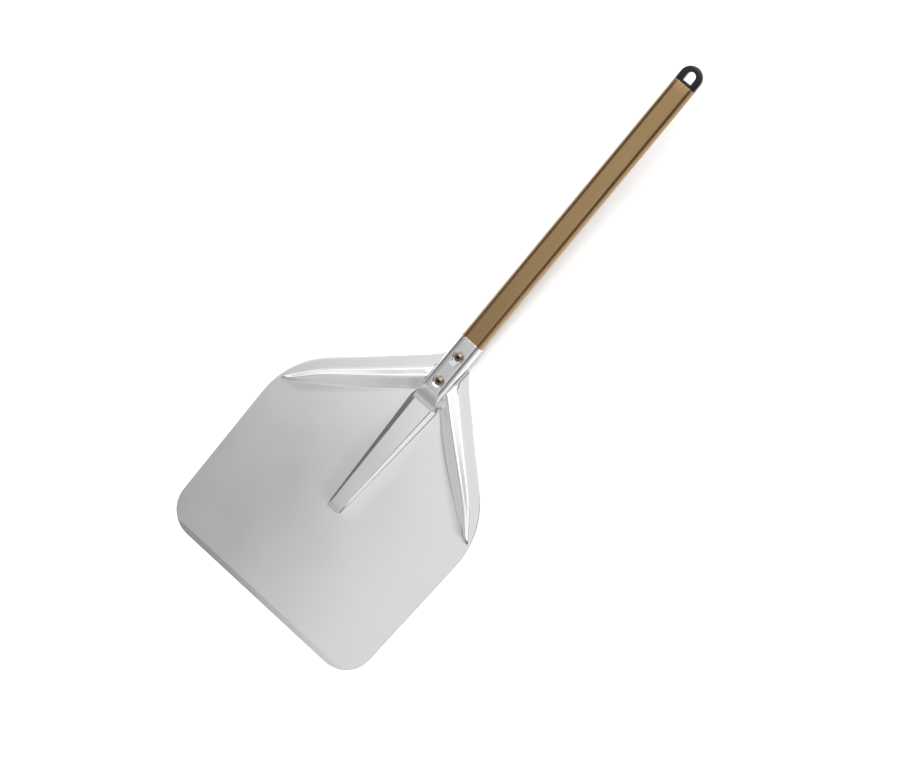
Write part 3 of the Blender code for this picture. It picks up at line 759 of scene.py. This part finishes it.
def eye_outline(half, start, end, corner, spread=0.0):
    """Plan of a straight-sided eye with a half-round tip, anticlockwise, grown outwards by spread."""
    points = []
    reach = corner + spread
    for side, first in ((1, -90.0), (-1, 180.0)):
        arc = []
        for step in range(7):
            angle = radians(first + 15.0 * step)
            centre = (side * (half - corner), start + corner)
            arc.append((centre[0] + reach * cos(angle), centre[1] + reach * sin(angle)))
        if side > 0:
            points += [(mix(0.0, arc[0][0], share), arc[0][1]) for share in (0.0, 0.33, 0.67)] + arc
            tip = end - half
            points += [(half + spread, mix(start + corner, tip, share)) for share in (0.33, 0.67)]
            for step in range(37):
                angle = pi * step / 36
                points.append(((half + spread) * cos(angle), tip + (half + spread) * sin(angle)))
            points += [(-half - spread, mix(tip, start + corner, share)) for share in (0.33, 0.67)]
        else:
            points += arc + [(mix(arc[-1][0], 0.0, share), arc[-1][1]) for share in (0.33, 0.67)]
    return points


def make_eye():
    """The cap's ring: a plate with rounded edges outside and round its hole."""
    middle, half = TUBE_HEIGHT / 2, CAP_THICKNESS / 2
    outer = (CAP_WIDTH / 2, GAP, CAP_LENGTH, 3 * MM)
    hole = (HOLE_WIDTH / 2, HOLE_START, HOLE_END, HOLE_CORNER)
    angles = [radians(a) for a in (0.0, 15.0, 30.0, 45.0, 60.0, 75.0, 90.0)]
    loops = []
    for side in (-1, 1):
        for a in angles if side > 0 else reversed(angles):
            z = middle + side * (half - CAP_EDGE * (1 - sin(a)))
            outline = eye_outline(*outer, spread=-CAP_EDGE * (1 - cos(a)))
            loops.append([(x, TUBE_END + y, z) for x, y in outline])
    for side in (1, -1):
        for a in reversed(angles) if side > 0 else angles:
            z = middle + side * (half - HOLE_EDGE * (1 - sin(a)))
            outline = eye_outline(*hole, spread=HOLE_EDGE * (1 - cos(a)))
            loops.append([(x, TUBE_END + y, z) for x, y in outline])
    return add_object("peel_end_cap", loft("peel_end_cap", loops, closed=True))


def make_plug():
    """The cap's collar and its hollow spigot, as one closed cup inside the tube."""
    inset = TUBE_WALL + GAP
    base = TUBE_END + GAP
    shape = (TUBE_WIDTH - GAP, TUBE_HEIGHT - GAP, TUBE_CORNER - GAP / 2)
    loops = []

    def add(drawn_in, s):
        loops.append([(x, y, z + GAP / 2) for x, y, z in oval_loop(*shape, drawn_in, s)])

    spigot = inset - GAP / 2
    add(spigot + SPIGOT_WALL, TUBE_END - SPIGOT_WALL)
    add(spigot + SPIGOT_WALL, TUBE_END - SPIGOT_LENGTH)
    add(spigot + GAP, TUBE_END - SPIGOT_LENGTH)
    add(spigot, TUBE_END - SPIGOT_LENGTH + SPIGOT_WALL)
    add(spigot, base)
    add(GAP / 2, base)
    add(0.0, base + GAP / 2)
    for a in (0.0, 30.0, 60.0, 90.0):
        turn = radians(a)
        add(COLLAR_EDGE * (1 - cos(turn)), base + COLLAR_LENGTH - COLLAR_EDGE * (1 - sin(turn)))
    return add_object("plug", loft("plug", loops))


def make_cap():
    """The cap in one piece, its mesh set in the world's axes so that its box is its true one."""
    cap = on_handle(make_eye())
    plug = on_handle(make_plug())
    combine(cap, plug, "UNION")
    apply_modifiers(cap, plug)
    smooth_shading(cap)
    cap.data.transform(cap.matrix_world)
    cap.matrix_world = Matrix.Identity(4)
    return cap


# ---- Materials ----


class Shader:
    """A material's nodes, wired by name."""

    def __init__(self, name, metallic, color):
        self.material = bpy.data.materials.new(name)
        self.material.use_nodes = True
        self.tree = self.material.node_tree
        self.surface = self.tree.nodes["Principled BSDF"]
        self.surface.inputs["Metallic"].default_value = metallic
        self.surface.inputs["Base Color"].default_value = (*color, 1.0)
        self.material.diffuse_color = (*color, 1.0)
        self.coordinates = self.add("ShaderNodeTexCoord").outputs["Object"]

    def add(self, kind, **settings):
        node = self.tree.nodes.new(kind)
        for key, value in settings.items():
            setattr(node, key, value)
        return node

    def link(self, output, target):
        self.tree.links.new(output, target)

    def stretched(self, scale):
        """The object's coordinates, multiplied by a scale on each axis."""
        mapping = self.add("ShaderNodeMapping")
        mapping.inputs["Scale"].default_value = scale
        self.link(self.coordinates, mapping.inputs["Vector"])
        return mapping.outputs["Vector"]

    def noise(self, scale, stretch=(1.0, 1.0, 1.0), detail=3.0):
        """Noise from 0 to 1, with its scale in cycles a metre."""
        texture = self.add("ShaderNodeTexNoise")
        texture.inputs["Scale"].default_value = scale
        texture.inputs["Detail"].default_value = detail
        self.link(self.stretched(stretch), texture.inputs["Vector"])
        return texture.outputs["Fac"]

    def spread(self, value, low, high, source=(0.3, 0.7)):
        """Maps a value from a source range to low and high."""
        node = self.add("ShaderNodeMapRange")
        node.inputs["From Min"].default_value, node.inputs["From Max"].default_value = source
        node.inputs["To Min"].default_value, node.inputs["To Max"].default_value = low, high
        self.link(value, node.inputs["Value"])
        return node.outputs["Result"]

    def math(self, operation, a, b=None):
        node = self.add("ShaderNodeMath", operation=operation)
        for value, target in zip((a, b), node.inputs):
            if isinstance(value, (int, float)):
                target.default_value = value
            elif value is not None:
                self.link(value, target)
        return node.outputs["Value"]

    def colors(self, factor, low, high):
        """Mixes two colours, fixed or from other nodes, by a factor."""
        node = self.add("ShaderNodeMix", data_type="RGBA")
        ends = [socket for socket in node.inputs if socket.type == "RGBA"]
        for value, target in zip((low, high), ends):
            if isinstance(value, tuple):
                target.default_value = (*value, 1.0)
            else:
                self.link(value, target)
        self.link(factor, node.inputs["Factor"])
        return next(socket for socket in node.outputs if socket.type == "RGBA")

    def color(self, output):
        self.link(output, self.surface.inputs["Base Color"])

    def roughness(self, output):
        self.link(output, self.surface.inputs["Roughness"])

    def bump(self, height, distance, strength=1.0):
        """Adds a relief, whose height 0 to 1 spans a distance, on top of any earlier one."""
        node = self.add("ShaderNodeBump")
        node.inputs["Distance"].default_value = distance
        node.inputs["Strength"].default_value = strength
        self.link(height, node.inputs["Height"])
        normal = self.surface.inputs["Normal"]
        if normal.is_linked:
            self.link(normal.links[0].from_socket, node.inputs["Normal"])
        self.link(node.outputs["Normal"], normal)


def satin_aluminium():
    """Rolled sheet: a faint grain along the blade, a fine pebbled skin and soft handling marks."""
    shader = Shader("satin_aluminium", 1.0, (0.8, 0.8, 0.81))
    grain = shader.noise(1.0, (2600.0, 60.0, 2600.0), detail=2.0)
    pebble = shader.noise(1500.0, detail=2.0)
    marks = shader.noise(9.0, detail=5.0)
    shader.color(shader.colors(shader.spread(marks, 0.0, 1.0), (0.78, 0.785, 0.795), (0.82, 0.82, 0.825)))
    rough = shader.math("ADD", shader.spread(grain, 0.24, 0.25), shader.spread(marks, -0.015, 0.02))
    shader.roughness(rough)
    shader.bump(grain, 0.0000007, 0.6)
    shader.bump(pebble, 0.0000007, 0.6)
    return shader.material


def bronze_anodised():
    """Extruded tube with a bronze anodised skin: hair-fine lines along it and slight changes of tone."""
    shader = Shader("bronze_anodised", 1.0, (0.34, 0.223, 0.115))
    lines = shader.noise(1.0, (2400.0, 9.0, 2400.0), detail=3.0)
    tone = shader.noise(14.0, (1.0, 0.35, 1.0), detail=4.0)
    mixed = shader.math("ADD", shader.spread(lines, 0.0, 0.45), shader.spread(tone, 0.0, 0.55))
    shader.color(shader.colors(mixed, (0.345, 0.222, 0.108), (0.4, 0.268, 0.137)))
    shader.roughness(shader.spread(lines, 0.25, 0.32))
    shader.bump(lines, 0.000003, 0.6)
    return shader.material


def black_plastic():
    """Moulded nylon: glossy, with a faint grain and softer patches where it has been handled."""
    shader = Shader("black_plastic", 0.0, (0.007, 0.007, 0.0075))
    shader.surface.inputs["Specular IOR Level"].default_value = 0.28
    grain = shader.noise(1800.0, detail=2.0)
    patches = shader.noise(90.0, detail=3.0)
    patchy = shader.spread(patches, 0.0, 1.0)
    shader.color(shader.colors(patchy, (0.005, 0.005, 0.0055), (0.009, 0.009, 0.0095)))
    shader.roughness(shader.spread(patches, 0.24, 0.36))
    shader.bump(grain, 0.00001, 0.5)
    return shader.material


def turned_steel(name, low, high, rough, pitch, relief=0.00002, painted_shade_radius=0.0):
    """Turned steel: rings about the piece's axis and a little staining, with painted shade: near black within
    a radius of the axis, over the hex socket.
    """
    shader = Shader(name, 1.0, high)
    parts = shader.add("ShaderNodeSeparateXYZ")
    shader.link(shader.coordinates, parts.inputs["Vector"])
    squares = [shader.math("MULTIPLY", parts.outputs[axis], parts.outputs[axis]) for axis in ("X", "Y")]
    radius = shader.math("SQRT", shader.math("ADD", *squares))
    rings = shader.math("SINE", shader.math("MULTIPLY", radius, 2 * pi / pitch))
    rings = shader.spread(rings, 0.0, 1.0, source=(-1.0, 1.0))
    stain = shader.noise(700.0, detail=4.0)
    mixed = shader.math("ADD", shader.math("MULTIPLY", rings, 0.5), shader.spread(stain, 0.0, 0.5))
    tone = shader.colors(mixed, low, high)
    # Painted shade: inside this radius from the axis the colour turns near black, standing in for the shade
    # down in the hex socket.
    if painted_shade_radius:
        outside_painted_shade = shader.spread(radius, 0.0, 1.0, source=(painted_shade_radius, painted_shade_radius + 0.4 * MM))
        tone = shader.colors(outside_painted_shade, (0.02, 0.013, 0.008), tone)
    shader.color(tone)
    shader.roughness(shader.spread(stain, rough - 0.05, rough + 0.08))
    shader.bump(rings, relief, 0.5)
    return shader.material


# ---- Stage ----


def make_floor():
    """Plain pale floor just under the blade."""
    bm = bmesh.new()
    bmesh.ops.create_grid(bm, x_segments=4, y_segments=4, size=FLOOR_HALF)
    mesh = bpy.data.meshes.new("floor")
    bm.to_mesh(mesh)
    bm.free()
    floor = add_object("floor", mesh)
    floor.location.z = -FLOOR_GAP
    shader = Shader("floor_paint", 0.0, (0.9, 0.9, 0.9))
    shade = shader.noise(3.0, detail=2.0)
    shader.color(shader.colors(shader.spread(shade, 0.0, 1.0), (0.9, 0.9, 0.9), (0.93, 0.93, 0.93)))
    shader.surface.inputs["Roughness"].default_value = 0.9
    floor.data.materials.append(shader.material)


def direction(turn, rise):
    """Unit vector towards a point of the sky, given round from +X and up from the floor, in degrees."""
    turn, rise = radians(turn), radians(rise)
    return Vector((cos(turn) * cos(rise), sin(turn) * cos(rise), sin(rise)))


def soft_light(name, place, aim, size, radiance):
    """Rectangular soft light at a place, turned towards a point, as bright as its radiance all over."""
    light = bpy.data.lights.new(name, "AREA")
    light.shape = "RECTANGLE"
    light.size, light.size_y = size
    light.energy = radiance * pi * size[0] * size[1]
    obj = add_object(name, light)
    obj.location = place
    obj.rotation_euler = (Vector(place) - Vector(aim)).to_track_quat("Z", "Y").to_euler()


def key_light():
    """Wide, even light from behind, as bright as its radiance all over its disc."""
    light = bpy.data.lights.new("key", "SUN")
    light.angle = radians(KEY_ANGLE)
    light.energy = KEY_RADIANCE * 2 * pi * (1.0 - cos(radians(KEY_ANGLE / 2)))
    obj = add_object("key", light)
    obj.rotation_euler = direction(*KEY_TURN).to_track_quat("Z", "Y").to_euler()


def make_lights():
    key_light()
    for row, (front, back, radiances) in enumerate(zip(BANK_ROWS, BANK_ROWS[1:], BANK_RADIANCE)):
        for column, (left, right, radiance) in enumerate(zip(BANK_COLUMNS, BANK_COLUMNS[1:], radiances)):
            x, y = (left + right) / 2, (front + back) / 2
            place = (x, y, BANK_HEIGHT)
            soft_light(f"bank_{row}_{column}", place, (x, y, 0.0), (right - left, back - front), radiance)
    for name, turn, rise, size, radiance in SOFTBOXES:
        place = Vector(SOFTBOX_AIM) + direction(turn, rise) * SOFTBOX_DISTANCE
        soft_light(name, place, SOFTBOX_AIM, size, radiance)
    world = bpy.data.worlds.new("studio")
    world.use_nodes = True
    background = world.node_tree.nodes["Background"]
    background.inputs["Color"].default_value = (1.0, 1.0, 1.0, 1.0)
    background.inputs["Strength"].default_value = WORLD_STRENGTH
    bpy.context.scene.world = world


def make_camera():
    lens = bpy.data.cameras.new("camera")
    lens.lens = CAMERA_LENS
    lens.sensor_width = 36.0
    camera = add_object("camera", lens)
    camera.location = CAMERA_PLACE
    camera.rotation_euler = Euler([radians(a) for a in CAMERA_TURN])
    bpy.context.scene.camera = camera


# ---- Everything together ----


def place_piece(piece, material, slot, *nodes):
    """Gives a piece its material and says which nodes it stands for."""
    piece.data.materials.clear()
    piece.data.materials.append(material)
    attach(piece, "root")
    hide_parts(*nodes)


def main():
    place_piece(make_blade(), satin_aluminium(), "blade_aluminium", "blade")
    place_piece(make_tube(), bronze_anodised(), "handle_anodised", "handle_tube")
    place_piece(make_cap(), black_plastic(), "cap_plastic", "end_cap")
    # The screw steel's last argument is the radius of its painted shade, near black over the hex socket.
    screw_steel = turned_steel(
        "screw_steel", (0.1, 0.072, 0.048), (0.34, 0.28, 0.215), 0.36, 2.0 * MM, 0.00012, HEX_ACROSS_FLATS / 2
    )
    nut_steel = turned_steel("nut_steel", (0.5, 0.49, 0.48), (0.62, 0.61, 0.6), 0.3, 0.5 * MM)
    for label, at in SCREWS.items():
        place_piece(make_screw(label, at), screw_steel, "screw_metal", f"screw_{label}")
        place_piece(make_nut(label, at), nut_steel, "nut_metal", f"sleeve_nut_{label}")
    make_floor()
    make_lights()
    make_camera()
    bpy.context.scene.view_settings.view_transform = "Standard"


main()
